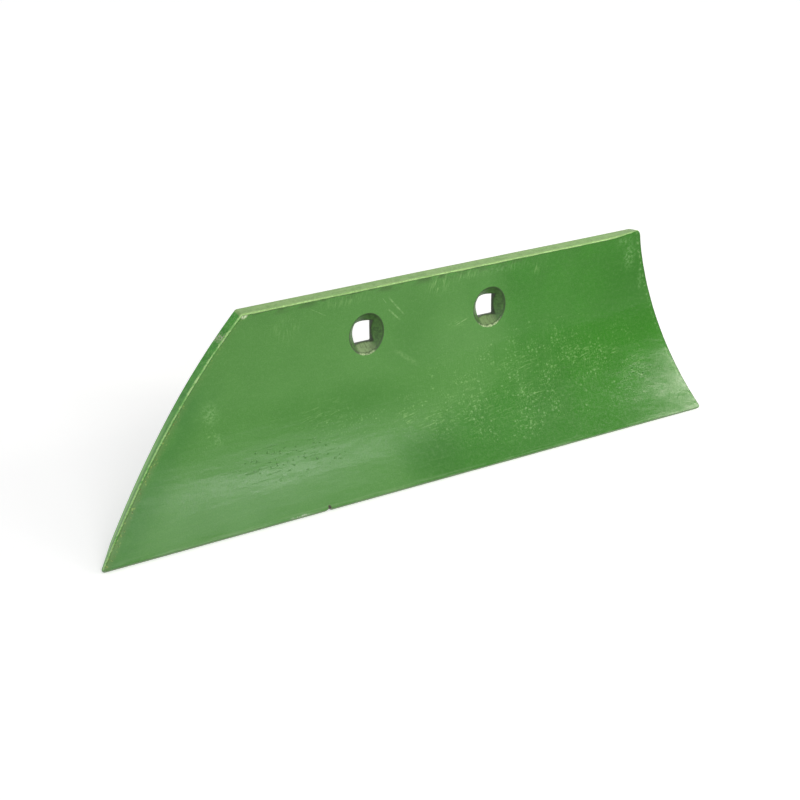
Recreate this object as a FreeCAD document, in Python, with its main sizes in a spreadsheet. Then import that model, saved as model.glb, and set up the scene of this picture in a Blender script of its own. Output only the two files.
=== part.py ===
import FreeCAD, Part
import math
import os
import Sketcher

# Skimmer mouldboard: one strip of flat steel, cut square at one end and raked
# at the other, then pressed hot into a hollow face.
# Frame: +X along the strip towards its square end, +Y out of the back,
# +Z up at the bolt holes. The origin lies on the back, midway between the
# two holes, where the plate seats on its leg.

os.makedirs("parts", exist_ok=True)
doc = FreeCAD.newDocument("skimmer_mouldboard")

# Driving dimensions, in millimetres and degrees
sheet = doc.addObject("Spreadsheet::Sheet", "Dimensions")
driving = (
    ("plate_thickness", 7.5),
    ("face_radius", 150.0),
    ("width_above_holes", 28.5),
    ("width_below_holes", 96.0),
    ("raked_end_reach", 154.0),
    ("raked_end_slope", 0.86),
    ("square_end_reach", 170.5),
    ("square_end_slope", 0.28),
    ("thinned_width", 15.0),
    ("lower_edge_thickness", 3.0),
    ("hole_spacing", 90.0),
    ("hole_square", 13.0),
    ("countersink_width", 24.0),
    ("heel_corner_radius", 4.0),
    ("raked_top_radius", 2.0),
    ("lower_corner_radius", 1.5),
    ("cut_margin", 12.0),
    ("cut_turn_margin", 0.08),
)
# Dimensions that follow from the driving ones
derived = (
    ("top_angle", "=width_above_holes / face_radius * 180 / pi"),
    ("bottom_angle", "=width_below_holes / face_radius * 180 / pi"),
    ("thinning_angle", "=(width_below_holes - thinned_width) / face_radius * 180 / pi"),
    ("axis_setback", "=plate_thickness + face_radius"),
    ("end_slopes", "=raked_end_slope + square_end_slope"),
    ("blank_half", "=raked_end_reach + square_end_reach + end_slopes * width_below_holes"),
    ("cut_start", "=width_above_holes / face_radius + cut_turn_margin"),
    ("cut_sweep", "=(width_above_holes + width_below_holes) / face_radius + 2 * cut_turn_margin"),
    ("cut_turns", "=cut_sweep / (2 * pi)"),
    ("raked_start", "=raked_end_reach - raked_end_slope * face_radius * cut_start"),
    ("raked_travel", "=raked_end_slope * face_radius * cut_sweep"),
    ("square_start", "=square_end_reach - square_end_slope * face_radius * cut_start"),
    ("square_travel", "=square_end_slope * face_radius * cut_sweep"),
)
row = 0
for alias, value in driving:
    row += 1
    sheet.set("A" + str(row), alias)
    sheet.set("B" + str(row), str(value))
    sheet.setAlias("B" + str(row), alias)
for alias, formula in derived:
    row += 1
    sheet.set("A" + str(row), alias)
    sheet.setAlias("B" + str(row), alias)
    sheet.set("B" + str(row), formula)
doc.recompute()


def size(alias):
    return float(sheet.get(alias))


def bound(expression):
    text = expression
    for alias, _ in driving + derived:
        text = text.replace("<" + alias + ">", "Dimensions." + alias)
    return text


body = doc.addObject("PartDesign::Body", "mouldboard_plate")
body.Label = "mouldboard_plate"
origin = {item.Role: item for item in body.Origin.OriginFeatures}


def new_sketch(name, plane):
    sketch = body.newObject("Sketcher::SketchObject", name)
    sketch.AttachmentSupport = [(origin[plane], "")]
    sketch.MapMode = "FlatFace"
    return sketch


def dimension(sketch, kind, references, value, expression):
    number = sketch.addConstraint(Sketcher.Constraint(kind, *references, value))
    sketch.setExpression("Constraints[" + str(number) + "]", bound(expression))


def finish_feature(feature):
    body.Tip = feature
    doc.recompute()
    return feature


# Cross-section of the pressed strip, looking along it
centre_y = -size("axis_setback")
face = size("face_radius")
thick = size("plate_thickness")


def on_arc(radius, degrees):
    turn = math.radians(degrees)
    return FreeCAD.Vector(centre_y + radius * math.cos(turn), -radius * math.sin(turn), 0)


top_turn = -size("top_angle")
bottom_turn = size("bottom_angle")
thin_turn = size("thinning_angle")
back = face + thick
edge = face + size("lower_edge_thickness")
section = new_sketch("SectionSketch", "YZ_Plane")
middle = FreeCAD.Vector(centre_y, 0, 0)
normal = FreeCAD.Vector(0, 0, 1)
face_arc = section.addGeometry(Part.ArcOfCircle(
    Part.Circle(middle, normal, face),
    math.radians(-bottom_turn),
    math.radians(-top_turn)))
back_arc = section.addGeometry(Part.ArcOfCircle(
    Part.Circle(middle, normal, back),
    math.radians(-thin_turn),
    math.radians(-top_turn)))
top_line = section.addGeometry(Part.LineSegment(on_arc(face, top_turn), on_arc(back, top_turn)))
thin_line = section.addGeometry(Part.LineSegment(on_arc(back, thin_turn), on_arc(edge, bottom_turn)))
edge_line = section.addGeometry(Part.LineSegment(on_arc(edge, bottom_turn), on_arc(face, bottom_turn)))
top_ray = section.addGeometry(Part.LineSegment(middle, on_arc(face, top_turn)), True)
thin_ray = section.addGeometry(Part.LineSegment(middle, on_arc(back, thin_turn)), True)
bottom_ray = section.addGeometry(Part.LineSegment(middle, on_arc(face, bottom_turn)), True)
POINTS = ("whole curve", "start", "end", "centre")
START = POINTS.index("start")
END = POINTS.index("end")
CENTRE = POINTS.index("centre")
AXIS = -1
for first, first_end, second, second_end in (
    (back_arc, CENTRE, face_arc, CENTRE),
    (face_arc, END, top_line, START),
    (top_line, END, back_arc, END),
    (back_arc, START, thin_line, START),
    (thin_line, END, edge_line, START),
    (edge_line, END, face_arc, START),
    (top_ray, START, face_arc, CENTRE),
    (thin_ray, START, face_arc, CENTRE),
    (bottom_ray, START, face_arc, CENTRE),
    (top_ray, END, face_arc, END),
    (thin_ray, END, back_arc, START),
    (bottom_ray, END, face_arc, START),
):
    section.addConstraint(Sketcher.Constraint("Coincident", first, first_end, second, second_end))
section.addConstraint(Sketcher.Constraint("PointOnObject", face_arc, CENTRE, AXIS))
section.addConstraint(Sketcher.Constraint("Parallel", top_ray, top_line))
section.addConstraint(Sketcher.Constraint("Parallel", bottom_ray, edge_line))
dimension(section, "DistanceX", (face_arc, CENTRE, AXIS, START), -centre_y, "<axis_setback>")
dimension(section, "Radius", (face_arc,), face, "<face_radius>")
dimension(section, "Radius", (back_arc,), back, "<face_radius> + <plate_thickness>")
dimension(section, "Distance", (edge_line,), size("lower_edge_thickness"), "<lower_edge_thickness>")
dimension(section, "Angle", (AXIS, START, top_ray, START), math.radians(-top_turn), "<top_angle>")
dimension(section, "Angle", (thin_ray, START, AXIS, START), math.radians(thin_turn), "<thinning_angle>")
dimension(section, "Angle", (bottom_ray, START, AXIS, START), math.radians(bottom_turn), "<bottom_angle>")

strip = body.newObject("PartDesign::Pad", "PressedStrip")
strip.Profile = section
strip.SideType = "Symmetric"
strip.setExpression("Length", bound("2 * <blank_half>"))
section.Visibility = False
finish_feature(strip)


# Both ends are cut across the flat strip before pressing, so each cut winds
# round the axis of the hollow face as a helix
def end_cut(name, start_alias, travel_alias, side, handed):
    sketch = new_sketch(name + "Sketch", "XY_Plane")
    placed = FreeCAD.Vector(0, centre_y, 0)
    tilt = FreeCAD.Rotation(FreeCAD.Vector(1, 0, 0), math.degrees(size("cut_start")))
    sketch.AttachmentOffset = FreeCAD.Placement(placed, tilt)
    sketch.setExpression("AttachmentOffset.Base.y", bound("-<axis_setback>"))
    sketch.setExpression("AttachmentOffset.Rotation.Angle", bound("<cut_start> * 180 / pi"))
    near = side * size(start_alias)
    far = side * 2 * size("blank_half")
    low = face - size("cut_margin")
    high = back + size("cut_margin")
    corners = (
        FreeCAD.Vector(near, low, 0),
        FreeCAD.Vector(far, low, 0),
        FreeCAD.Vector(far, high, 0),
        FreeCAD.Vector(near, high, 0),
    )
    lines = []
    for index in range(len(corners)):
        following = corners[(index + 1) % len(corners)]
        lines.append(sketch.addGeometry(Part.LineSegment(corners[index], following)))
    for index in range(len(lines)):
        following = lines[(index + 1) % len(lines)]
        sketch.addConstraint(Sketcher.Constraint("Coincident", lines[index], END, following, START))
    sketch.addConstraint(Sketcher.Constraint("Horizontal", lines[0]))
    sketch.addConstraint(Sketcher.Constraint("Vertical", lines[1]))
    sketch.addConstraint(Sketcher.Constraint("Horizontal", lines[2]))
    sketch.addConstraint(Sketcher.Constraint("Vertical", lines[3]))
    sign = "" if side > 0 else "-"
    dimension(sketch, "DistanceX", (AXIS, START, lines[0], START), near, sign + "<" + start_alias + ">")
    dimension(sketch, "DistanceX", (AXIS, START, lines[1], START), far, sign + "2 * <blank_half>")
    dimension(sketch, "DistanceY", (AXIS, START, lines[0], START), low, "<face_radius> - <cut_margin>")
    dimension(sketch, "DistanceY", (AXIS, START, lines[2], START), high,
              "<face_radius> + <plate_thickness> + <cut_margin>")
    doc.recompute()
    cut = body.newObject("PartDesign::SubtractiveHelix", name)
    cut.Profile = sketch
    cut.ReferenceAxis = (sketch, ["H_Axis"])
    cut.Mode = "height-turns-angle"
    cut.Reversed = side < 0
    cut.LeftHanded = handed
    cut.setExpression("Height", bound("<" + travel_alias + ">"))
    cut.setExpression("Turns", bound("<cut_turns>"))
    sketch.Visibility = False
    return finish_feature(cut)


raked_cut = end_cut("RakedEndCut", "raked_start", "raked_travel", -1, False)
square_cut = end_cut("SquareEndCut", "square_start", "square_travel", 1, True)

# Countersink in the face, then the square bolt hole right through
lead = size("cut_margin")
sink = new_sketch("CountersinkSketch", "XY_Plane")
sink.setExpression("AttachmentOffset.Base.x", bound("-<hole_spacing> / 2"))
mouth = size("countersink_width") / 2 + lead
front_y = -thick - lead
tip_y = -thick + size("countersink_width") / 2
sink_corners = (
    FreeCAD.Vector(0, front_y, 0),
    FreeCAD.Vector(mouth, front_y, 0),
    FreeCAD.Vector(0, tip_y, 0),
)
sink_lines = []
for index in range(len(sink_corners)):
    following = sink_corners[(index + 1) % len(sink_corners)]
    sink_lines.append(sink.addGeometry(Part.LineSegment(sink_corners[index], following)))
for index in range(len(sink_lines)):
    following = sink_lines[(index + 1) % len(sink_lines)]
    sink.addConstraint(Sketcher.Constraint("Coincident", sink_lines[index], END, following, START))
VERTICAL_AXIS = AXIS - 1
sink.addConstraint(Sketcher.Constraint("Horizontal", sink_lines[0]))
sink.addConstraint(Sketcher.Constraint("PointOnObject", sink_lines[0], START, VERTICAL_AXIS))
sink.addConstraint(Sketcher.Constraint("PointOnObject", sink_lines[2], START, VERTICAL_AXIS))
dimension(sink, "DistanceY", (AXIS, START, sink_lines[0], START), front_y,
          "-<plate_thickness> - <cut_margin>")
dimension(sink, "DistanceX", (sink_lines[0], START, sink_lines[0], END), mouth,
          "<countersink_width> / 2 + <cut_margin>")
dimension(sink, "DistanceY", (AXIS, START, sink_lines[2], START), tip_y,
          "<countersink_width> / 2 - <plate_thickness>")
doc.recompute()
countersink = body.newObject("PartDesign::Groove", "Countersink")
countersink.Profile = sink
countersink.ReferenceAxis = (sink, ["V_Axis"])
countersink.Angle = 360.0
sink.Visibility = False
finish_feature(countersink)

hole = new_sketch("SquareHoleSketch", "XZ_Plane")
hole.setExpression("AttachmentOffset.Base.x", bound("-<hole_spacing> / 2"))
half = size("hole_square") / 2
hole_corners = (
    FreeCAD.Vector(-half, -half, 0),
    FreeCAD.Vector(half, -half, 0),
    FreeCAD.Vector(half, half, 0),
    FreeCAD.Vector(-half, half, 0),
)
hole_lines = []
for index in range(len(hole_corners)):
    following = hole_corners[(index + 1) % len(hole_corners)]
    hole_lines.append(hole.addGeometry(Part.LineSegment(hole_corners[index], following)))
for index in range(len(hole_lines)):
    following = hole_lines[(index + 1) % len(hole_lines)]
    hole.addConstraint(Sketcher.Constraint("Coincident", hole_lines[index], END, following, START))
hole.addConstraint(Sketcher.Constraint("Horizontal", hole_lines[0]))
hole.addConstraint(Sketcher.Constraint("Vertical", hole_lines[1]))
hole.addConstraint(Sketcher.Constraint("Horizontal", hole_lines[2]))
hole.addConstraint(Sketcher.Constraint("Symmetric", hole_lines[0], START, hole_lines[2], START, AXIS, START))
dimension(hole, "Distance", (hole_lines[0],), 2 * half, "<hole_square>")
dimension(hole, "Distance", (hole_lines[1],), 2 * half, "<hole_square>")
doc.recompute()
square_hole = body.newObject("PartDesign::Pocket", "SquareHole")
square_hole.Profile = hole
square_hole.SideType = "Symmetric"
square_hole.setExpression("Length", bound("2 * (<face_radius> + <plate_thickness>)"))
hole.Visibility = False
finish_feature(square_hole)

hole_pair = body.newObject("PartDesign::LinearPattern", "HolePair")
hole_pair.Originals = [countersink, square_hole]
hole_pair.Direction = (origin["X_Axis"], [""])
hole_pair.Occurrences = 2
hole_pair.setExpression("Length", bound("<hole_spacing>"))
finish_feature(hole_pair)


# Corners of the strip, seen on its face; each runs through the thickness
def corner_edge(shape, end_x, turn_degrees):
    turn = math.radians(turn_degrees)
    inner = on_arc(face, turn_degrees)
    target = FreeCAD.Vector(end_x, inner.x, inner.y)
    across = FreeCAD.Vector(0, math.cos(turn), -math.sin(turn))
    best = None
    for number, candidate in enumerate(shape.Edges, 1):
        if len(candidate.Vertexes) != 2:
            continue
        first = candidate.Vertexes[0].Point
        second = candidate.Vertexes[1].Point
        along = second - first
        if along.Length == 0 or abs(along.normalize().dot(across)) < 0.99:
            continue
        gap = min(first.distanceToPoint(target), second.distanceToPoint(target))
        if best is None or gap < best[0]:
            best = (gap, "Edge" + str(number))
    return best[1]


def raked_x(width):
    return -size("raked_end_reach") - size("raked_end_slope") * width


def square_x(width):
    return size("square_end_reach") + size("square_end_slope") * width


def round_corner(name, base, ends, alias):
    fillet = body.newObject("PartDesign::Fillet", name)
    names = [corner_edge(base.Shape, end_x, turn) for end_x, turn in ends]
    fillet.Base = (base, names)
    fillet.setExpression("Radius", bound("<" + alias + ">"))
    return finish_feature(fillet)


above = -size("width_above_holes")
below = size("width_below_holes")
heel = round_corner("HeelCorner", hole_pair, [(square_x(above), top_turn)], "heel_corner_radius")
raked_top = round_corner("RakedTopCorner", heel, [(raked_x(above), top_turn)], "raked_top_radius")
lower = round_corner("LowerCorners", raked_top,
                     [(raked_x(below), bottom_turn), (square_x(below), bottom_turn)],
                     "lower_corner_radius")

# Check every step, then write the plate
doc.recompute()
volumes = []
for item in doc.Objects:
    faults = [word for word in item.State if word in ("Invalid", "Error")]
    if faults:
        raise RuntimeError(item.Name + " did not build: " + ", ".join(faults))
for step in (strip, raked_cut, square_cut, countersink, square_hole, hole_pair, heel, raked_top, lower):
    if step.Shape.isNull() or not step.Shape.isValid():
        raise RuntimeError(step.Name + " has no valid shape")
    volumes.append(step.Shape.Volume)
    print(step.Name, round(step.Shape.Volume), "cubic millimetres")
for before, after in zip(volumes, volumes[1:]):
    if after >= before:
        raise RuntimeError("a cut took nothing away")
if len(body.Shape.Solids) != 1:
    raise RuntimeError("the plate is not one solid")
body.Placement = FreeCAD.Placement()
body.Shape.exportStep(os.path.join("parts", "mouldboard_plate.step"))
box = body.Shape.BoundBox
print("box", [round(value, 2) for value in (box.XMin, box.XMax, box.YMin, box.YMax, box.ZMin, box.ZMax)])
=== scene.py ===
import bpy
import math

from mathutils import Matrix, Vector, geometry, noise
from mathutils.kdtree import KDTree


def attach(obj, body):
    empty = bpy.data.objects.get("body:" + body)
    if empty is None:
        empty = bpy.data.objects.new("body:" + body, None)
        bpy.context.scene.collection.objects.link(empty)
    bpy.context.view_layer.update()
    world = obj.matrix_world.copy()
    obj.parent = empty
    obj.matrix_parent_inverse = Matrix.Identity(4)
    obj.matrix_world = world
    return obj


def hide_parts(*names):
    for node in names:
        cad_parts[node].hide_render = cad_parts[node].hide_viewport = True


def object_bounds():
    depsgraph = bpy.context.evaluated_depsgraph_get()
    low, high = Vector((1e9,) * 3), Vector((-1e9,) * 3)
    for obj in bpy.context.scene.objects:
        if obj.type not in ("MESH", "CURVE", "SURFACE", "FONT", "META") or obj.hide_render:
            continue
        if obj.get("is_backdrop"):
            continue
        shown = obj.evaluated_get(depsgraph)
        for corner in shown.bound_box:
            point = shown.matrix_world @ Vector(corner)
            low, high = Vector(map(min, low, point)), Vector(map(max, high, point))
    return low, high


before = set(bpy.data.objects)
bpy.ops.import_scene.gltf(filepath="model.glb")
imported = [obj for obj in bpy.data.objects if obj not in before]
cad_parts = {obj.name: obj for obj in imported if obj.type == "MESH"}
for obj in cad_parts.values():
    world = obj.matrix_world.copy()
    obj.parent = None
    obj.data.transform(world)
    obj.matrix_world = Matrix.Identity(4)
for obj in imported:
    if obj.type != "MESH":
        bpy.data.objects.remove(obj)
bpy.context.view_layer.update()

MM = 0.001

# Sizes of the plate, in millimetres, as in the CAD part
FACE_R = 150.0
THICK = 7.5
EDGE_THICK = 3.0
ABOVE = 28.5
BELOW = 96.0
THINNED = 15.0
RAKED_REACH = 154.0
RAKED_SLOPE = 0.86
SQUARE_REACH = 170.5
SQUARE_SLOPE = 0.28
HOLE_X = 45.0
HOLE_HALF = 6.5
HOLE_CORNER = 0.7
SINK_R = 12.0
NICK_X = -91.0
NICK_DEPTH = 1.2
NICK_WIDTH = 1.1
HEEL_LIFT = 2.2
LIFT_START = 130.0
LIFT_LENGTH = 30.0
LIFT_FROM = 16.0
LIFT_HEIGHT = 12.0
CENTRE_Y = -THICK - FACE_R


def polar(x, s, w):
    """A point of the strip: x along it, s down the face, w into the thickness."""
    turn = s / FACE_R
    r = FACE_R + w
    return Vector((x, CENTRE_Y + r * math.cos(turn), -r * math.sin(turn)))


def thickness(s):
    """Thickness at s, thinned from the back by a flat towards the lower edge."""
    start = BELOW - THINNED
    if s <= start:
        return THICK
    a = Vector((math.cos(start / FACE_R), math.sin(start / FACE_R))) * (FACE_R + THICK)
    b = Vector((math.cos(BELOW / FACE_R), math.sin(BELOW / FACE_R))) * (FACE_R + EDGE_THICK)
    d = b - a
    ray = Vector((math.cos(s / FACE_R), math.sin(s / FACE_R)))
    r = (a.x * d.y - a.y * d.x) / (ray.x * d.y - ray.y * d.x)
    return r - FACE_R


def sway(x, s):
    """Slight unevenness left by hot pressing, in millimetres along the thickness."""
    p = Vector((x / 62.0, s / 34.0, 1.7))
    q = Vector((x / 17.0, s / 13.0, 8.1))
    return 0.16 * noise.noise(p) + 0.035 * noise.noise(q)


# Outline of the strip laid flat
def raked_x(s):
    return -RAKED_REACH - RAKED_SLOPE * s


def square_x(s):
    return SQUARE_REACH + SQUARE_SLOPE * s


def rounded_outline(corners, step):
    """Closed loop through corners (x, s, radius), each rounded; returns points and inward normals."""
    points = []
    count = len(corners)
    for i in range(count):
        here = Vector(corners[i][:2])
        before = (Vector(corners[i - 1][:2]) - here).normalized()
        after = (Vector(corners[(i + 1) % count][:2]) - here).normalized()
        radius = corners[i][2]
        half = before.angle(after) / 2
        reach = radius / math.tan(half)
        centre = here + (before + after).normalized() * (radius / math.sin(half))
        first = here + before * reach
        last = here + after * reach
        a0 = math.atan2(first.y - centre.y, first.x - centre.x)
        a1 = math.atan2(last.y - centre.y, last.x - centre.x)
        turn = (a1 - a0 + math.pi) % (2 * math.pi) - math.pi
        parts = max(5, int(abs(turn) * radius / 0.5))
        for k in range(parts + 1):
            a = a0 + turn * k / parts
            points.append(centre + Vector((math.cos(a), math.sin(a))) * radius)
    loop = []
    for i in range(len(points)):
        a = points[i]
        b = points[(i + 1) % len(points)]
        parts = max(1, int(round((b - a).length / step)))
        for k in range(parts):
            loop.append(a.lerp(b, k / parts))
    normals = []
    for i in range(len(loop)):
        d = (loop[(i + 1) % len(loop)] - loop[i - 1]).normalized()
        normals.append(Vector((-d.y, d.x)))
    return loop, normals


corners = (
    (raked_x(-ABOVE), -ABOVE, 2.0),
    (square_x(-ABOVE), -ABOVE, 5.0),
    (square_x(BELOW), BELOW, 1.5),
    (raked_x(BELOW), BELOW, 1.5),
)
OUTLINE, INWARD = rounded_outline(corners, 1.1)


def rounded_square(half, corner, parts):
    """Points round a square with rounded corners, anticlockwise from angle 0."""
    points = []
    for quarter in range(4):
        a = quarter * math.pi / 2
        side = Vector((math.cos(a), math.sin(a)))
        up = Vector((-side.y, side.x))
        flat = half - corner
        for k in range(parts):
            points.append(side * half + up * (-flat + 2 * flat * k / parts))
        centre = side * flat + up * flat
        for k in range(5):
            b = a + math.pi / 2 * k / 5
            points.append(centre + Vector((math.cos(b), math.sin(b))) * corner)
    return points


SQUARE = rounded_square(HOLE_HALF, HOLE_CORNER, 14)


def front_y(z):
    return CENTRE_Y + math.sqrt(FACE_R * FACE_R - z * z)


def back_y(z):
    r = FACE_R + THICK
    return CENTRE_Y + math.sqrt(r * r - z * z)


def s_of(z, r):
    return -FACE_R * math.asin(z / r)


class Builder:
    """Collects vertices with their flat coordinates and faces with a zone."""

    def __init__(self):
        self.verts = []
        self.flat = []
        self.faces = []
        self.zones = []

    def add(self, point, flat):
        self.verts.append(point)
        self.flat.append(flat)
        return len(self.verts) - 1

    def strip(self, ring_a, ring_b, zone):
        count = len(ring_a)
        for i in range(count):
            j = (i + 1) % count
            self.faces.append((ring_a[i], ring_a[j], ring_b[j], ring_b[i]))
            self.zones.append(zone)


build = Builder()
FACE, SIDE, BACK, SINK, WALL = range(5)


def heel_lift(x, s, w):
    """The upper heel corner is drawn up a little on its face side, in millimetres."""
    along = min(max((x - LIFT_START) / LIFT_LENGTH, 0.0), 1.0)
    near = min(max((-s - LIFT_FROM) / LIFT_HEIGHT, 0.0), 1.0)
    return HEEL_LIFT * along * along * near * near * (1 - w / THICK)


def nick_lift(x, s):
    """A small notch knocked into the lower edge, in millimetres."""
    near = min(max((s - 91.0) / 4.0, 0.0), 1.0)
    return NICK_DEPTH * near * math.exp(-((x - NICK_X) / NICK_WIDTH) ** 2)


def skin_vertex(x, s, w):
    point = polar(x, s - heel_lift(x, s, w) - nick_lift(x, s), w + sway(x, s))
    return build.add(point, (x, s, w))


# Rings round the outline, from the face over the arris, down the side, to the back
rings = []
ARRIS = 0.85
BACK_ARRIS = 0.3
profile = []
for k in range(5):
    a = math.pi / 2 * k / 4
    profile.append(("front", 1 - math.sin(a), 1 - math.cos(a)))
for k in range(1, 4):
    profile.append(("side", 0, k / 4))
for k in range(4):
    a = math.pi / 2 * k / 3
    profile.append(("back", 1 - math.cos(a), 1 - math.sin(a)))


def chipping(x, s):
    """Wear of the front arris: the radius grows and shrinks along it, and is least at the right."""
    p = Vector((x / 5.0, s / 5.0, 4.4))
    q = Vector((x / 1.9, s / 1.9, 9.4))
    sharp = 0.5 if x > square_x(s) - 6 or s > BELOW - 3 else 1.0
    return sharp * (1 + 0.35 * noise.noise(p) + 0.3 * noise.noise(q))


for kind, inward, down in profile:
    ring = []
    for point, normal in zip(OUTLINE, INWARD):
        t = thickness(min(point.y, BELOW))
        small = min(ARRIS * chipping(point.x, point.y), 0.45 * t)
        low = min(BACK_ARRIS, 0.3 * t)
        if kind == "front":
            d = small * inward
            w = small * down
        elif kind == "side":
            d = 0.0
            w = small + (t - small - low) * down
        else:
            d = low * inward
            w = t - low * down
        place = point + normal * d
        w_here = w
        if kind == "back":
            w_here = thickness(min(place.y, BELOW)) - low * down
        ring.append(skin_vertex(place.x, place.y, w_here))
    rings.append(ring)
for a, b in zip(rings, rings[1:]):
    build.strip(a, b, SIDE)
front_loop = rings[0]
back_loop = rings[-1]

# Holes: rim, countersink, square wall, back edge
hole_fronts = []
hole_backs = []
for hole_x in (-HOLE_X, HOLE_X):
    angles = [math.atan2(p.y, p.x) for p in SQUARE]
    rim = []
    for a in angles:
        rho = SINK_R
        for _ in range(4):
            z = rho * math.sin(a)
            rho = SINK_R + (-THICK - front_y(z))
        rim.append(rho)
    lip = 0.35
    ring_list = []

    def on_face(extra, drop):
        ring = []
        for a, rho in zip(angles, rim):
            r = rho + extra
            x = hole_x + r * math.cos(a)
            z = r * math.sin(a)
            s = s_of(z, FACE_R)
            ring.append(skin_vertex(x, s, drop))
        return ring

    ring_list.append((on_face(lip, 0.0), FACE))
    ring_list.append((on_face(lip * 0.4, 0.06), SINK))
    for step in range(6):
        share = step / 5
        ring = []
        for a, rho, corner in zip(angles, rim, SQUARE):
            start = rho - 0.2
            end = corner.length + 0.12
            r = start + (end - start) * share
            depth = SINK_R - r
            y = -THICK + depth
            x = hole_x + r * math.cos(a)
            z = r * math.sin(a)
            s = s_of(z, FACE_R)
            y += sway(x, s)
            ring.append(build.add(Vector((x, y, z)), (x, s, depth)))
        ring_list.append((ring, SINK))
    for step in range(4):
        share = step / 3
        ring = []
        for a, corner in zip(angles, SQUARE):
            x = hole_x + corner.x
            z = corner.y
            s = s_of(z, FACE_R)
            y0 = -THICK + (SINK_R - corner.length) + 0.12
            y1 = back_y(z) - 0.35
            y = y0 + (y1 - y0) * share + sway(x, s)
            ring.append(build.add(Vector((x, y, z)), (x, s, y + THICK)))
        ring_list.append((ring, WALL))
    ring = []
    for corner in SQUARE:
        r = corner.normalized() * (corner.length + 0.4)
        x = hole_x + r.x
        z = r.y
        s = s_of(z, FACE_R + THICK)
        ring.append(build.add(polar(x, s, THICK + sway(x, s)), (x, s, THICK)))
    ring_list.append((ring, WALL))
    for (a, _), (b, zone) in zip(ring_list, ring_list[1:]):
        build.strip(b, a, zone)
    hole_fronts.append(ring_list[0][0])
    hole_backs.append(ring_list[-1][0])


def inside(point, loop):
    odd = False
    j = len(loop) - 1
    for i in range(len(loop)):
        a = loop[i]
        b = loop[j]
        if (a[1] > point[1]) != (b[1] > point[1]):
            if point[0] < (b[0] - a[0]) * (point[1] - a[1]) / (b[1] - a[1]) + a[0]:
                odd = not odd
        j = i
    return odd


def fill(outer, holes, w_of, zone, spacing, flip):
    """Fills a skin between its outer loop and its holes with an even net of triangles."""
    loops = [outer] + holes
    coords = []
    index = []
    links = []
    flats = []
    for loop in loops:
        base = len(coords)
        shape = [(build.flat[v][0], build.flat[v][1]) for v in loop]
        flats.append(shape)
        for k, v in enumerate(loop):
            coords.append(Vector(shape[k]))
            index.append(v)
            links.append((base + k, base + (k + 1) % len(loop)))
    near = KDTree(len(coords))
    for k, c in enumerate(coords):
        near.insert((c.x, c.y, 0), k)
    near.balance()
    low_x = raked_x(BELOW)
    rows = int((ABOVE + BELOW) / (spacing * 0.866)) + 1
    columns = int((square_x(BELOW) - low_x) / spacing) + 1
    for row in range(rows):
        s = -ABOVE + row * spacing * 0.866
        for column in range(columns):
            x = low_x + (column + 0.5 * (row % 2)) * spacing
            if x < raked_x(s) + 1.0 or x > square_x(s) - 1.0:
                continue
            if s < -ABOVE + 1.0 or s > BELOW - 1.0:
                continue
            gap = near.find((x, s, 0))[2]
            if gap < 0.62 * spacing:
                continue
            if any(inside((x, s), hole) for hole in flats[1:]):
                continue
            coords.append(Vector((x, s)))
            index.append(skin_vertex(x, s, w_of(s)))
    made = geometry.delaunay_2d_cdt(coords, links, [], 0, 1e-7)
    points, _, tris, origins = made[0], made[1], made[2], made[3]
    for tri in tris:
        ids = [index[origins[k][0]] for k in tri]
        middle = sum((points[k] for k in tri), Vector((0, 0))) / 3
        if not inside(middle, flats[0]) or any(inside(middle, hole) for hole in flats[1:]):
            continue
        build.faces.append(tuple(reversed(ids)) if flip else tuple(ids))
        build.zones.append(zone)


fill(front_loop, hole_fronts, lambda s: 0.0, FACE, 2.2, False)
fill(back_loop, hole_backs, thickness, BACK, 3.0, True)

mesh = bpy.data.meshes.new("mouldboard_skin")
mesh.from_pydata([p * MM for p in build.verts], [], build.faces)
mesh.update()
mesh.attributes.new("flat", "FLOAT_VECTOR", "POINT")
mesh.attributes["flat"].data.foreach_set("vector", [c for flat in build.flat for c in flat])

plate = bpy.data.objects.new("mouldboard_skin", mesh)
bpy.context.collection.objects.link(plate)


# Materials
def new_material(name):
    material = bpy.data.materials.new(name)
    material.use_nodes = True
    material.node_tree.nodes.clear()
    return material


def colour(r, g, b):
    """An sRGB colour of 0 to 255 as a linear one."""
    def one(c):
        c = c / 255
        return c / 12.92 if c <= 0.04045 else ((c + 0.055) / 1.055) ** 2.4
    return (one(r), one(g), one(b), 1.0)


GLOSS = 0.17
WORN = colour(172, 214, 136)
SHEEN = 0.3
FRESH = colour(38, 110, 8)
# Duller green: a random paint tone on the back, and on the face a painted reflection that makes it milky
DULL_AND_SHEEN = colour(71, 126, 52)
DEEP = colour(34, 99, 8)
PALE = colour(134, 178, 106)
SIDE_GREEN = colour(70, 158, 46)
SIDE_DULL = colour(84, 160, 60)
# Top strip green, painted paler for the light that falls on it from above
TOP_PAINTED_LIGHT = colour(152, 186, 117)
RAKED_PALE = colour(150, 210, 120)
SCUFF = colour(146, 188, 116)
PIT = colour(36, 80, 28)
RUST = colour(52, 44, 28)
GREY = colour(150, 146, 138)


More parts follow.
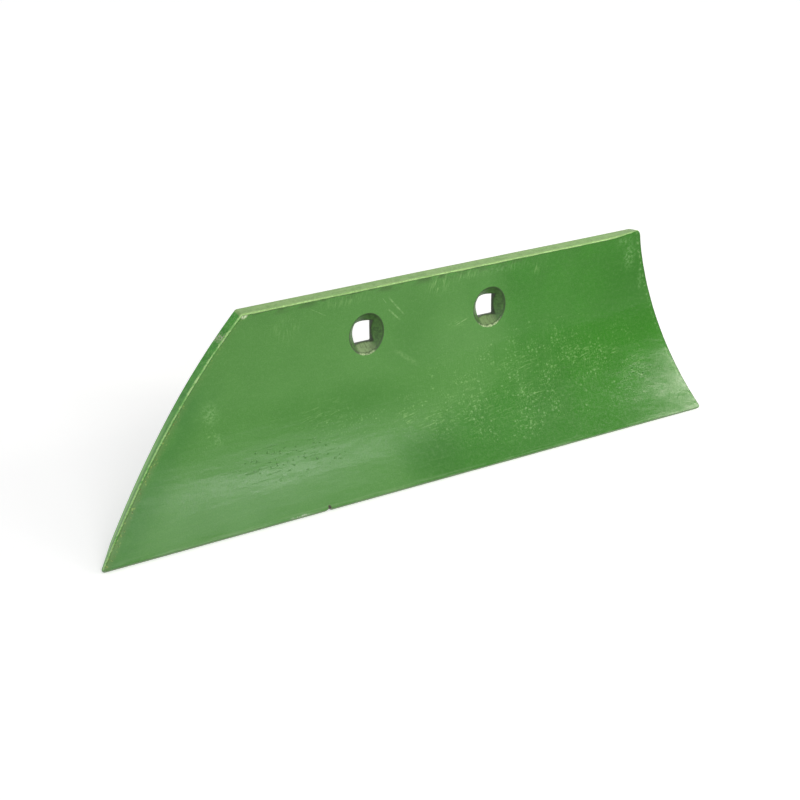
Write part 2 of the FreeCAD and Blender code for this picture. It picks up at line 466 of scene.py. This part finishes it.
class Net:
    """Short ways to add and join the shader nodes of one node tree."""

    def __init__(self, tree):
        self.tree = tree

    def add(self, kind, **values):
        node = self.tree.nodes.new(kind)
        for key, value in values.items():
            setattr(node, key, value)
        return node

    def join(self, source, target):
        self.tree.links.new(source, target)

    def feed(self, socket, value):
        if isinstance(value, bpy.types.NodeSocket):
            self.join(value, socket)
        else:
            socket.default_value = value

    def flat(self):
        node = self.add("ShaderNodeAttribute", attribute_name="flat", attribute_type="GEOMETRY")
        return node.outputs["Vector"]

    def parts(self, vector):
        node = self.add("ShaderNodeSeparateXYZ")
        self.join(vector, node.inputs[0])
        return node.outputs

    def maths(self, operation, a, b=0.0):
        node = self.add("ShaderNodeMath", operation=operation)
        self.feed(node.inputs[0], a)
        self.feed(node.inputs[1], b)
        return node.outputs[0]

    def plus(self, a, b):
        return self.maths("ADD", a, b)

    def times(self, a, b):
        return self.maths("MULTIPLY", a, b)

    def ramp(self, value, low, high, out_low=0.0, out_high=1.0):
        node = self.add("ShaderNodeMapRange", interpolation_type="SMOOTHSTEP")
        self.feed(node.inputs["Value"], value)
        node.inputs["From Min"].default_value = low
        node.inputs["From Max"].default_value = high
        node.inputs["To Min"].default_value = out_low
        node.inputs["To Max"].default_value = out_high
        return node.outputs[0]

    def placed(self, vector, scale=(1, 1, 1), shift=(0, 0, 0), turn=0.0):
        node = self.add("ShaderNodeMapping")
        self.join(vector, node.inputs["Vector"])
        node.inputs["Location"].default_value = shift
        node.inputs["Rotation"].default_value = (0, 0, turn)
        node.inputs["Scale"].default_value = scale
        return node.outputs[0]

    def noise(self, vector, scale, detail=3.0, rough=0.5):
        node = self.add("ShaderNodeTexNoise")
        self.join(vector, node.inputs["Vector"])
        node.inputs["Scale"].default_value = scale
        node.inputs["Detail"].default_value = detail
        node.inputs["Roughness"].default_value = rough
        return node.outputs["Fac"]

    def stretched(self, vector, scale, detail=3.0, rough=0.5):
        return self.noise(self.placed(vector, scale), 1.0, detail, rough)

    def spots(self, vector, cell, share, size, soft=0.06):
        """Small irregular spots: cell apart in millimetres, in that share of the cells."""
        wobble = self.add("ShaderNodeTexNoise")
        self.join(vector, wobble.inputs["Vector"])
        wobble.inputs["Scale"].default_value = 2.2 / cell
        add = self.add("ShaderNodeVectorMath", operation="SCALE")
        self.join(wobble.outputs["Color"], add.inputs[0])
        add.inputs["Scale"].default_value = cell * 0.9
        moved = self.add("ShaderNodeVectorMath", operation="ADD")
        self.join(vector, moved.inputs[0])
        self.join(add.outputs[0], moved.inputs[1])
        cells = self.add("ShaderNodeTexVoronoi", feature="F1", voronoi_dimensions="2D")
        self.join(moved.outputs[0], cells.inputs["Vector"])
        cells.inputs["Scale"].default_value = 1.0 / cell
        pick = self.parts(cells.outputs["Color"])[0]
        grown = self.times(self.ramp(self.maths("SUBTRACT", share, pick), 0.0, 0.25), size)
        return self.ramp(self.maths("SUBTRACT", grown, cells.outputs["Distance"]), 0.0, soft)

    def scratches(self, vector, turn, along, across, low, high):
        """Fine broken lines that run at that angle to the strip, in radians."""
        here = self.placed(vector, (1, 1, 0), (0, 0, 0), turn)
        lines = self.stretched(here, (along, across, 0.0), 2.0, 0.55)
        return self.ramp(lines, low, high)

    def patch(self, vector, x, s, width, height, inner=0.0):
        """1 in the middle of an oval patch, 0 outside it."""
        scale = (2.0 / width, 2.0 / height, 0.0)
        here = self.placed(vector, scale, (-x * scale[0], -s * scale[1], 0))
        node = self.add("ShaderNodeVectorMath", operation="LENGTH")
        self.join(here, node.inputs[0])
        return self.ramp(node.outputs["Value"], inner, 1.0, 1.0, 0.0)

    def stroke(self, vector, x0, s0, x1, s1, width):
        """1 along a scratch between two points of the face."""
        turn = -math.atan2(s1 - s0, x1 - x0)
        length = math.hypot(x1 - x0, s1 - s0)
        mid = Matrix.Rotation(turn, 3, "Z") @ Vector(((x0 + x1) / 2, (s0 + s1) / 2, 0))
        here = self.parts(self.placed(vector, (1, 1, 0), (-mid.x, -mid.y, 0), turn))
        along = self.ramp(self.maths("ABSOLUTE", here[0]), length * 0.2, length * 0.5, 1.0, 0.0)
        across = self.ramp(self.maths("ABSOLUTE", here[1]), 0.0, width, 1.0, 0.0)
        return self.times(along, across)

    def seen(self, strength):
        """That strength where the camera, a reflection or a transmission looks at it."""
        path = self.add("ShaderNodeLightPath")
        rays = [path.outputs[k] for k in ("Is Camera Ray", "Is Glossy Ray", "Is Transmission Ray")]
        return self.times(self.most(rays), strength)

    def most(self, values):
        result = values[0]
        for value in values[1:]:
            result = self.maths("MAXIMUM", result, value)
        return result

    def mix(self, factor, a, b):
        node = self.add("ShaderNodeMix", data_type="RGBA")
        self.feed(node.inputs["Factor"], factor)
        self.feed(node.inputs["A"], a)
        self.feed(node.inputs["B"], b)
        return node.outputs["Result"]

    def bump(self, height, strength, distance, normal=None):
        node = self.add("ShaderNodeBump")
        node.inputs["Strength"].default_value = strength
        node.inputs["Distance"].default_value = distance
        self.join(height, node.inputs["Height"])
        if normal is not None:
            self.join(normal, node.inputs["Normal"])
        return node.outputs["Normal"]


def paint_net(material):
    """The nodes of a material, with its shader joined to its output."""
    net = Net(material.node_tree)
    net.shader = net.add("ShaderNodeBsdfPrincipled")
    out = net.add("ShaderNodeOutputMaterial")
    net.join(net.shader.outputs[0], out.inputs["Surface"])
    return net


SLANT_RAKED = math.hypot(1, RAKED_SLOPE)
SLANT_SQUARE = math.hypot(1, SQUARE_SLOPE)


def outline_gaps(net, flat):
    """Distances on the face to the top, raked, square and lower arrises, in millimetres."""
    x, s, w = net.parts(flat)
    top = net.plus(s, ABOVE)
    low = net.maths("SUBTRACT", BELOW, s)
    raked = net.times(net.plus(net.plus(x, RAKED_REACH), net.times(s, RAKED_SLOPE)), 1 / SLANT_RAKED)
    square = net.times(net.maths("SUBTRACT", net.plus(SQUARE_REACH, net.times(s, SQUARE_SLOPE)), x),
                       1 / SLANT_SQUARE)
    return top, raked, square, low, w


def arris_wear(net, flat):
    """The worn line on the front arris: bright metal, and stained paint beside it."""
    top, raked, square, low, w = outline_gaps(net, flat)
    ragged = net.noise(flat, 0.9, 4.0, 0.65)
    uneven = net.noise(flat, 0.12, 3.0, 0.5)
    shift = net.plus(net.times(net.maths("SUBTRACT", ragged, 0.5), 2.6),
                     net.times(net.maths("SUBTRACT", uneven, 0.5), 1.6))

    def line(gap, reach):
        near = net.maths("MAXIMUM", net.times(gap, 1.5), net.times(w, 0.85))
        return net.ramp(net.plus(near, shift), reach * 0.55, reach, 1.0, 0.0)
    gleam = net.ramp(net.stretched(flat, (0.30, 0.30, 0.30), 3.0, 0.6), 0.38, 0.60, 0.35, 1.0)
    lower_part = net.ramp(net.parts(flat)[1], 0.0, 45.0)
    gleam = net.maths("MAXIMUM", gleam, net.times(lower_part, 0.8))
    bright = net.times(net.most([line(top, 0.48), line(raked, 1.0)]), gleam)
    edge_low = net.most([line(low, 0.5), line(square, 0.35)])
    dots = net.spots(flat, 1.9, 0.60, 0.44, 0.22)
    beside = net.times(net.ramp(raked, 1.2, 5.0, 1.0, 0.0), net.plus(0.25, net.times(lower_part, 0.75)))
    beside = net.times(beside, dots)
    tint = net.times(net.ramp(raked, 0.5, 5.5, 1.0, 0.0), net.plus(0.08, net.times(lower_part, 0.22)))
    return bright, edge_low, beside, tint


def face_material():
    material = new_material("face_paint")
    net = paint_net(material)
    flat = net.flat()
    x, s, w = net.parts(flat)
    top, raked, square, low, _ = outline_gaps(net, flat)
    # Green paint, with a painted reflection towards the raked end: a milky veil of the bright surroundings
    # laid into the colour
    cloud = net.stretched(flat, (0.022, 0.014, 0.0), 3.0, 0.5)
    lower_share = net.times(net.ramp(s, 40.0, 75.0), 68)
    drift = net.plus(net.times(net.maths("SUBTRACT", cloud, 0.5), 150), lower_share)
    milky = net.ramp(net.plus(x, drift), 10, 106, 1.0, 0.0)
    body = net.mix(milky, FRESH, DULL_AND_SHEEN)
    broad = net.noise(flat, 0.05, 4.0, 0.55)
    deep_share = net.times(net.ramp(broad, 0.40, 0.64), net.ramp(milky, 0.0, 1.0, 0.28, 0.10))
    body = net.mix(deep_share, body, DEEP)
    grit = net.noise(flat, 1.3, 2.0, 0.6)
    body = net.mix(net.times(net.ramp(grit, 0.35, 0.70), 0.10), body, PALE)
    body = net.mix(net.times(net.patch(flat, 162, 2, 110, 100), 0.75), body, DEEP)
    deeper = net.most([
        net.times(net.patch(flat, -62, 40, 170, 44), 0.30),
        net.times(net.patch(flat, 84, 58, 70, 110), 0.38),
        net.times(net.patch(flat, -10, 82, 70, 56), 0.62), net.times(net.patch(flat, -12, 4, 60, 90), 0.25),
    ])
    body = net.mix(deeper, body, DEEP)
    shade = net.times(net.ramp(raked, 4.0, 24.0, 1.0, 0.0), net.ramp(s, 0.0, 22.0))
    shade = net.times(shade, net.ramp(broad, 0.30, 0.60, 0.15, 0.42))
    body = net.mix(shade, body, colour(40, 104, 36))
    grain = net.noise(flat, 0.45, 5.0, 0.65)
    body = net.mix(net.times(net.ramp(grain, 0.45, 0.75), 0.12), body, colour(120, 165, 100))
    # Fine streaks down the face and along it
    zone = net.patch(flat, 68, 50, 270, 96, 0.3)
    down = net.stretched(flat, (1.1, 0.06, 0.0), 3.0, 0.6)
    body = net.mix(net.times(net.times(net.ramp(down, 0.50, 0.68), zone), 0.07), body, PALE)
    along = net.stretched(flat, (0.03, 0.9, 0.0), 3.0, 0.6)
    body = net.mix(net.times(net.ramp(along, 0.55, 0.75), 0.05), body, PALE)
    # Pale specks, in drifts
    drifts = net.ramp(net.noise(flat, 0.055, 2.0, 0.5), 0.42, 0.62)
    crowd = net.times(zone, net.plus(0.25, net.times(drifts, 0.75)))
    crowd = net.most([
        crowd, net.times(net.patch(flat, -62, 52, 100, 44), 0.45),
        net.times(net.patch(flat, -152, 34, 26, 46), 0.6),
        net.times(net.patch(flat, -110, 10, 60, 60), 0.15),
    ])
    wide = net.placed(flat, (0.75, 1.0, 1.0))
    specks = net.spots(wide, 2.5, net.plus(0.02, net.times(crowd, 0.75)), 0.37, 0.36)
    aside = net.placed(flat, (1, 1, 1), (31, 17, 0), 0.4)
    tiny = net.spots(aside, 1.5, net.plus(0.05, net.times(crowd, 0.85)), 0.42, 0.42)
    body = net.mix(net.times(specks, 0.32), body, PALE)
    body = net.mix(net.times(tiny, 0.27), body, PALE)
    # Clusters of short scuffs that climb slightly to the right
    lines = net.most([
        net.scratches(flat, 0.16, 0.14, 0.85, 0.54, 0.70),
        net.scratches(flat, -0.12, 0.22, 1.1, 0.58, 0.74),
    ])
    clusters = net.most([
        net.patch(flat, -24, 55, 26, 16), net.patch(flat, -6, 60, 34, 18),
        net.patch(flat, 14, 64, 26, 16), net.patch(flat, 62, 40, 44, 20),
        net.patch(flat, 74, 60, 14, 10), net.patch(flat, 112, 42, 30, 20),
        net.patch(flat, 138, 45, 18, 12), net.patch(flat, 158, 54, 16, 12),
        net.times(net.patch(flat, 20, 6, 28, 10), 0.8), net.times(net.patch(flat, 62, 77, 22, 12), 0.7),
        net.times(net.patch(flat, -80, 42, 60, 30), 0.5), net.times(net.patch(flat, 40, 60, 200, 60), 0.35),
    ])
    body = net.mix(net.times(net.times(lines, clusters), 0.46), body, SCUFF)
    # Scuffs that run down from the upper arris
    hatch = net.most([
        net.scratches(flat, 1.40, 0.12, 0.75, 0.50, 0.68),
        net.scratches(flat, 1.75, 0.16, 1.0, 0.55, 0.72),
    ])
    upper = net.most([
        net.patch(flat, 6, -22, 26, 20), net.times(net.patch(flat, 25, -24, 30, 12), 0.8),
        net.times(net.patch(flat, 62, -24, 36, 12), 0.45), net.times(net.patch(flat, 80, -20, 12, 14), 0.7),
        net.times(net.patch(flat, -60, -24, 60, 12), 0.5),
        net.times(net.patch(flat, -100, -14, 30, 24), 0.45),
    ])
    body = net.mix(net.times(net.times(hatch, upper), 0.46), body, SCUFF)
    # Cloudy pale patches
    cloudy = net.ramp(net.noise(flat, 0.5, 5.0, 0.7), 0.42, 0.66)
    scuffs = net.most([
        net.patch(flat, -152, 26, 16, 18), net.times(net.patch(flat, -149, 42, 10, 12), 0.7),
        net.patch(flat, 156, -14, 14, 26), net.times(net.patch(flat, 150, -24, 20, 8), 0.8),
        net.times(net.patch(flat, 166, 2, 5, 30), 0.8), net.times(net.patch(flat, 44, -24, 70, 9), 0.5),
    ])
    body = net.mix(net.times(net.times(scuffs, cloudy), 0.45), body, colour(146, 188, 126))
    # Single scratches
    broken = net.ramp(net.noise(flat, 0.55, 2.0, 0.6), 0.42, 0.58)
    marks = []
    for x0, s0, x1, s1, width, level in (
        (-31.0, -21.0, -17.5, -6.0, 0.80, 0.40),
        (-31.0, -13.5, -20.5, -3.5, 0.90, 0.34),
        (-35.0, -21.0, -31.0, -16.0, 0.35, 0.35),
        (-28.0, 12.0, -8.0, 27.0, 2.4, 0.15),
        (62.0, 80.0, 64.5, 75.0, 0.8, 0.40),
        (18.0, 7.5, 30.0, 3.5, 0.5, 0.40),
        (-86.0, -24.0, -72.0, -16.0, 0.4, 0.30),
    ):
        marks.append(net.times(net.stroke(flat, x0, s0, x1, s1, width), level))
    scratched = net.times(net.most(marks), net.plus(0.3, net.times(broken, 0.7)))
    body = net.mix(scratched, body, colour(160, 198, 132))
    # Small dark pits and grooves in the hollow, towards both ends
    pit_zone = net.most([
        net.patch(flat, -108, 62, 130, 34, 0.2),
        net.times(net.patch(flat, 152, 66, 60, 36, 0.2), 0.9),
        net.times(net.patch(flat, 100, 52, 90, 50, 0.2), 0.35),
    ])
    pits = net.spots(net.placed(flat, (0.6, 1.0, 1.0)), 2.3, net.times(pit_zone, 0.50), 0.24, 0.16)
    grooves = net.times(net.scratches(flat, 0.05, 0.07, 0.9, 0.60, 0.70), pit_zone)
    body = net.mix(net.times(pits, 0.5), body, PIT)
    body = net.mix(net.times(grooves, 0.35), body, PIT)
    # Lower edge: a rusty nick, light chips and thin lines along it
    nick = net.patch(flat, NICK_X, 95.0, 3.0, 3.2, 0.3)
    body = net.mix(nick, body, RUST)
    chips = net.times(net.patch(flat, -111, 95.2, 18, 2.2), net.ramp(grain, 0.45, 0.55))
    body = net.mix(chips, body, colour(178, 188, 168))
    rim_lines = net.times(net.ramp(low, 0.5, 4.0, 1.0, 0.0), net.ramp(along, 0.45, 0.60))
    body = net.mix(net.times(rim_lines, 0.25), body, colour(146, 170, 130))
    # Stains under the upper arris and beside the raked one
    stain_noise = net.stretched(flat, (0.10, 0.22, 0.0), 4.0, 0.6)
    stain = net.times(net.ramp(top, 0.8, 6.0, 1.0, 0.0), net.ramp(stain_noise, 0.44, 0.60))
    body = net.mix(net.times(stain, net.ramp(x, 20, 110, 0.72, 0.20)), body, colour(60, 94, 42))
    # Worn arrises
    bright, edge_low, beside, tint = arris_wear(net, flat)
    corner = net.patch(flat, raked_x(-ABOVE) + 1.5, 1.0 - ABOVE, 6, 5, 0.3)
    corner = net.times(corner, net.ramp(grain, 0.38, 0.50))
    body = net.mix(tint, body, colour(118, 132, 84))
    light_dots = net.ramp(net.noise(flat, 0.8, 2.0, 0.5), 0.44, 0.56)
    dot_colour = net.mix(light_dots, colour(72, 76, 34), colour(156, 184, 96))
    body = net.mix(net.times(beside, 0.7), body, dot_colour)
    body = net.mix(bright, body, WORN)
    body = net.mix(net.times(corner, 0.8), body, colour(214, 228, 190))
    body = net.mix(net.times(edge_low, 0.75), body, colour(128, 150, 112))
    square_line = net.times(net.ramp(square, 0.35, 1.1, 1.0, 0.0), net.ramp(square, -0.1, 0.3))
    body = net.mix(net.times(square_line, 0.75), body, colour(70, 92, 52))
    dashes = net.times(net.times(net.ramp(square, 1.2, 2.2), net.ramp(square, 2.6, 4.2, 1.0, 0.0)),
                       net.ramp(net.noise(flat, 0.5, 3.0, 0.6), 0.5, 0.62))
    body = net.mix(net.times(dashes, 0.35), body, colour(140, 176, 116))
    net.join(body, net.shader.inputs["Base Color"])
    # Gloss, and the lie of the paint film
    peel = net.noise(flat, 0.7, 3.0, 0.6)
    worn = net.most([bright, net.times(specks, 0.6), net.times(scuffs, 0.35)])
    rough = net.plus(net.ramp(grain, 0.3, 0.75, 0.0, 0.08), net.ramp(x, 80, 130, GLOSS, GLOSS - 0.05))
    rough = net.plus(rough, net.times(worn, 0.18))
    net.join(rough, net.shader.inputs["Roughness"])
    net.join(net.ramp(x, 40, 150, SHEEN, 0.2), net.shader.inputs["Specular IOR Level"])
    rolled = net.stretched(flat, (0.030, 0.13, 0.0), 3.0, 0.5)
    normal = net.bump(rolled, 0.45, 0.0006)
    normal = net.bump(peel, 0.25, 0.00012, normal)
    dents = net.maths("SUBTRACT", net.times(specks, 0.2), net.plus(pits, net.times(grooves, 0.5)))
    normal = net.bump(dents, 0.5, 0.00020, normal)
    net.join(normal, net.shader.inputs["Normal"])
    return material


def side_material():
    material = new_material("side_paint")
    net = paint_net(material)
    flat = net.flat()
    x, s, w = net.parts(flat)
    top, raked, square, low, _ = outline_gaps(net, flat)
    on_top = net.ramp(net.maths("ABSOLUTE", top), 0.6, 1.4, 1.0, 0.0)
    on_low = net.ramp(net.maths("ABSOLUTE", low), 0.6, 1.4, 1.0, 0.0)
    on_raked = net.ramp(net.maths("ABSOLUTE", raked), 0.6, 1.4, 1.0, 0.0)
    grain = net.noise(flat, 0.6, 5.0, 0.65)
    along = net.stretched(flat, (0.05, 0.05, 0.9), 4.0, 0.6)
    body = net.mix(net.ramp(grain, 0.35, 0.7), SIDE_GREEN, SIDE_DULL)
    blotches = net.noise(flat, 0.30, 4.0, 0.6)
    body = net.mix(net.times(net.ramp(blotches, 0.42, 0.62), 0.6), body, colour(40, 124, 22))
    # The top strip is painted paler, for the light that falls on it from above
    body = net.mix(net.times(on_top, net.ramp(along, 0.3, 0.7, 0.7, 0.98)), body, TOP_PAINTED_LIGHT)
    worn_top = net.times(net.times(on_top, net.ramp(blotches, 0.42, 0.60)), net.ramp(w, 1.0, 2.0))
    body = net.mix(net.times(worn_top, net.ramp(w, 3.0, 5.5, 0.55, 0.20)), body, colour(112, 156, 84))
    # Outer half of the raked end turns milky low down
    lower_part = net.ramp(s, 12.0, 45.0)
    outer = net.ramp(w, 2.2, 4.2)
    milky = net.times(net.times(on_raked, lower_part), net.plus(0.15, net.times(outer, 0.65)))
    body = net.mix(milky, body, RAKED_PALE)
    # Grey chips on the raked end
    flakes = net.ramp(net.noise(flat, 0.8, 4.0, 0.7), 0.46, 0.54)
    chipped = net.times(net.patch(flat, -140.5, -14.5, 8, 10, 0.2), flakes)
    body = net.mix(net.times(net.times(chipped, on_raked), 0.85), body, colour(176, 184, 152))
    winding = net.maths("SUBTRACT", net.noise(flat, 0.35, 3.0, 0.6), 0.5)
    threads = net.ramp(net.maths("ABSOLUTE", winding), 0.0, 0.02, 1.0, 0.0)
    upper_part = net.times(on_raked, net.ramp(s, -12.0, 6.0, 1.0, 0.25))
    body = net.mix(net.times(net.times(threads, upper_part), 0.45), body, colour(168, 206, 140))
    body = net.mix(net.times(on_low, 0.8), body, colour(108, 128, 94))
    bright = arris_wear(net, flat)[0]
    body = net.mix(bright, body, WORN)
    body = net.mix(net.patch(flat, NICK_X, 96.0, 3.0, 3.2, 0.3), body, RUST)
    # The arris of the square end is dark
    on_square = net.ramp(net.maths("ABSOLUTE", square), 0.8, 1.4, 1.0, 0.0)
    on_square = net.times(on_square, net.ramp(s, -27.0, -24.0))
    body = net.mix(net.times(on_square, 0.85), body, colour(52, 72, 38))
    thin = net.plus(THICK, net.times(net.maths("SUBTRACT", grain, 0.5), 0.8))
    back_line = net.ramp(net.maths("SUBTRACT", thin, w), 0.15, 0.7, 1.0, 0.0)
    body = net.mix(net.times(net.times(back_line, on_top), 0.7), body, GREY)
    net.join(body, net.shader.inputs["Base Color"])
    rough = net.ramp(grain, 0.3, 0.7, 0.30, 0.48)
    net.join(rough, net.shader.inputs["Roughness"])
    net.join(net.ramp(on_square, 0.0, 1.0, SHEEN, 0.05), net.shader.inputs["Specular IOR Level"])
    normal = net.bump(along, 0.5, 0.0005)
    normal = net.bump(grain, 0.4, 0.0002, normal)
    net.join(normal, net.shader.inputs["Normal"])
    return material


def back_material():
    material = new_material("back_paint")
    net = paint_net(material)
    flat = net.flat()
    cloud = net.noise(flat, 0.03, 4.0, 0.55)
    grain = net.noise(flat, 0.5, 5.0, 0.65)
    body = net.mix(net.ramp(cloud, 0.35, 0.7), FRESH, DULL_AND_SHEEN)
    body = net.mix(net.times(net.ramp(grain, 0.45, 0.75), 0.18), body, colour(120, 165, 100))
    drifts = net.ramp(net.noise(flat, 0.05, 2.0, 0.5), 0.45, 0.65)
    specks = net.spots(flat, 2.4, net.plus(0.04, net.times(drifts, 0.35)), 0.34, 0.34)
    body = net.mix(net.times(specks, 0.35), body, colour(138, 182, 112))
    scratch = net.stretched(flat, (0.05, 0.8, 0.0), 4.0, 0.65)
    body = net.mix(net.times(net.ramp(scratch, 0.62, 0.72), 0.25), body, colour(150, 188, 130))
    # Grinding marks on the thinned strip along the lower edge
    x, s, w = net.parts(flat)
    ground = net.ramp(s, BELOW - THINNED - 0.6, BELOW - THINNED + 1.0)
    lines = net.stretched(flat, (1.1, 0.05, 0.0), 3.0, 0.6)
    marks = net.times(ground, net.ramp(lines, 0.45, 0.7))
    body = net.mix(net.times(marks, 0.22), body, colour(120, 150, 100))
    net.join(body, net.shader.inputs["Base Color"])
    net.join(net.ramp(grain, 0.3, 0.7, 0.26, 0.42), net.shader.inputs["Roughness"])
    net.shader.inputs["Specular IOR Level"].default_value = SHEEN
    rolled = net.stretched(flat, (0.045, 0.24, 0.0), 3.0, 0.5)
    normal = net.bump(rolled, 0.5, 0.00045)
    normal = net.bump(net.times(lines, ground), 0.35, 0.0003, normal)
    net.join(normal, net.shader.inputs["Normal"])
    return material


def hole_material(name, light, dark, bare_and_lit):
    material = new_material(name)
    net = paint_net(material)
    flat = net.flat()
    x, s, w = net.parts(flat)
    mottled = net.noise(flat, 0.55, 5.0, 0.65)
    body = net.mix(net.ramp(mottled, 0.35, 0.65), dark, light)
    # The lower side is bare steel where its paint is gone, and is painted lighter there for the light that
    # falls on it from above
    aside = net.maths("ABSOLUTE", net.maths("SUBTRACT", net.maths("ABSOLUTE", x), HOLE_X))
    ragged = net.times(net.maths("SUBTRACT", mottled, 0.5), 6.0)
    bare_and_lit_side = net.times(net.ramp(net.plus(s, ragged), 4.5, 7.5),
                         net.ramp(net.plus(aside, ragged), 4.0, 7.5, 1.0, 0.0))
    right_hole = net.ramp(x, -5.0, 5.0)
    body = net.mix(net.times(bare_and_lit_side, 0.8), body, net.mix(right_hole, bare_and_lit[0], bare_and_lit[1]))
    stripes = net.stretched(flat, (0.9, 0.25, 0.25), 4.0, 0.6)
    striped = net.times(bare_and_lit_side, net.ramp(stripes, 0.42, 0.66))
    body = net.mix(net.times(striped, 0.60), body, colour(72, 86, 54))
    rings = net.stretched(flat, (0.02, 0.02, 1.6), 3.0, 0.6)
    body = net.mix(net.times(net.ramp(rings, 0.5, 0.75), 0.3), body, colour(48, 62, 38))
    # A painted highlight along the lower lip of the hole, broken up by noise
    lip = net.ramp(net.plus(w, net.times(net.maths("SUBTRACT", mottled, 0.5), 2.6)), 0.0, 0.22, 1.0, 0.0)
    reach = net.ramp(net.plus(aside, net.times(right_hole, -3.0)), 3.0, 7.0, 1.0, 0.0)
    lip = net.times(net.times(lip, reach), net.ramp(s, 5.0, 9.5))
    lip = net.times(lip, net.ramp(net.noise(flat, 1.1, 3.0, 0.6), 0.40, 0.54, 0.15, 1.0))
    rim_dark = net.times(net.ramp(w, 0.25, 1.0, 1.0, 0.0), net.maths("SUBTRACT", 1.0, lip))
    square_gap = net.maths("MAXIMUM", aside, net.maths("ABSOLUTE", s))
    seam = net.ramp(square_gap, HOLE_HALF + 0.1, HOLE_HALF + 0.8, 1.0, 0.0)
    seam = net.times(seam, net.ramp(square_gap, HOLE_HALF - 0.3, HOLE_HALF - 0.05))
    body = net.mix(net.times(net.most([rim_dark, seam]), 0.55), body, colour(40, 58, 30))
    body = net.mix(net.times(lip, net.plus(0.60, net.times(right_hole, 0.2))), body, colour(182, 208, 152))
    net.join(body, net.shader.inputs["Base Color"])
    net.join(net.ramp(mottled, 0.3, 0.7, 0.35, 0.6), net.shader.inputs["Roughness"])
    net.shader.inputs["Specular IOR Level"].default_value = SHEEN
    net.join(net.bump(mottled, 0.5, 0.0003), net.shader.inputs["Normal"])
    return material


for material in (
    face_material(),
    side_material(),
    back_material(),
    hole_material("countersink", colour(74, 112, 56), colour(54, 86, 40),
                  (colour(134, 156, 112), colour(120, 146, 96))),
    hole_material("square_wall", colour(74, 92, 60), colour(50, 64, 40),
                  (colour(82, 98, 64), colour(112, 128, 100))),
):
    mesh.materials.append(material)
for polygon, zone in zip(mesh.polygons, build.zones):
    polygon.material_index = zone
    polygon.use_smooth = True

weighted = plate.modifiers.new("weighted_normals", "WEIGHTED_NORMAL")
weighted.keep_sharp = True
weighted.weight = 60

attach(plate, "root")
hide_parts("mouldboard_plate")

# Floor, backdrop and lights
FLOOR_Z = -0.0915
FLOOR_GLOW = 0.47
WORLD = 0.4


bpy.ops.mesh.primitive_plane_add(size=16.0, location=(0, 0, FLOOR_Z))
floor = bpy.context.object
floor.name = "floor"
floor_paper = new_material("floor_paper")
net = paint_net(floor_paper)
net.shader.inputs["Base Color"].default_value = (0.86, 0.86, 0.86, 1)
net.shader.inputs["Roughness"].default_value = 0.9
net.shader.inputs["Emission Color"].default_value = (1, 1, 1, 1)
net.join(net.seen(FLOOR_GLOW), net.shader.inputs["Emission Strength"])
floor.data.materials.append(floor_paper)
floor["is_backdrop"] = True

# A plain studio: an even world, one soft sun, and soft boxes whose images lie on the hollow face
world = bpy.data.worlds.new("studio")
bpy.context.scene.world = world
world.use_nodes = True
background = world.node_tree.nodes["Background"]
background.inputs["Color"].default_value = (1, 1, 1, 1)
sky = Net(world.node_tree)
sky.join(sky.plus(sky.seen(1.0 - WORLD), WORLD), background.inputs["Strength"])


def aimed(data, name, azimuth, elevation):
    """A lamp that shines from that azimuth (0 is in front, 90 to the right) and elevation."""
    a = math.radians(azimuth)
    e = math.radians(elevation)
    way = Vector((math.sin(a) * math.cos(e), -math.cos(a) * math.cos(e), math.sin(e)))
    made = bpy.data.objects.new(name, data)
    bpy.context.collection.objects.link(made)
    made.rotation_euler = way.to_track_quat("Z", "Y").to_euler()
    return made, way


def sun(name, azimuth, elevation, spread, strength):
    data = bpy.data.lights.new(name, "SUN")
    data.energy = strength
    data.angle = math.radians(spread)
    aimed(data, name, azimuth, elevation)


def soft_box(name, target, azimuth, elevation, distance, width, height, power, tint=(1, 1, 1)):
    data = bpy.data.lights.new(name, "AREA")
    data.color = tint
    data.shape = "RECTANGLE"
    data.size = width
    data.size_y = height
    data.energy = power
    made, way = aimed(data, name, azimuth, elevation)
    made.location = Vector(target) + way * distance


sun("front_sun", -15, 25, 30, 1.31)
BAND = (-0.115, -0.014, -0.066)
HEEL = (0.168, -0.025, -0.075)
WARM = (1.0, 1.0, 0.84)
soft_box("band_middle", BAND, 29.8, 23.0, 1.50, 0.24, 0.18, 1.30)
soft_box("band_high", BAND, 30.3, 34.0, 1.60, 0.33, 0.32, 0.90)
soft_box("band_low", BAND, 28.8, 14.5, 1.55, 0.30, 0.22, 0.28)
soft_box("heel_high", HEEL, 54.5, 31.5, 0.90, 0.13, 0.14, 1.35, WARM)
soft_box("heel_middle", HEEL, 50.5, 21.5, 0.90, 0.13, 0.14, 2.05, WARM)
soft_box("heel_low", HEEL, 47.5, 15.0, 0.90, 0.10, 0.09, 0.85, WARM)

# Camera at the photo's angle
camera_data = bpy.data.cameras.new("camera")
camera_data.sensor_width = 36.0
camera_data.lens = 85.0
camera_data.clip_end = 50.0
camera = bpy.data.objects.new("camera", camera_data)
bpy.context.collection.objects.link(camera)
CAMERA_MM = Vector((-621.38, -883.74, 349.57))
right = Vector((0.823838, -0.566787, -0.006627))
up = Vector((0.203133, 0.284303, 0.936968))
back = Vector((-0.529177, -0.773256, 0.349353))
turned = Matrix((right, up, back)).transposed().to_4x4()
turned.translation = CAMERA_MM * MM
camera.matrix_world = turned
bpy.context.scene.camera = camera
bpy.context.scene.view_settings.view_transform = "Standard"

low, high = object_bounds()
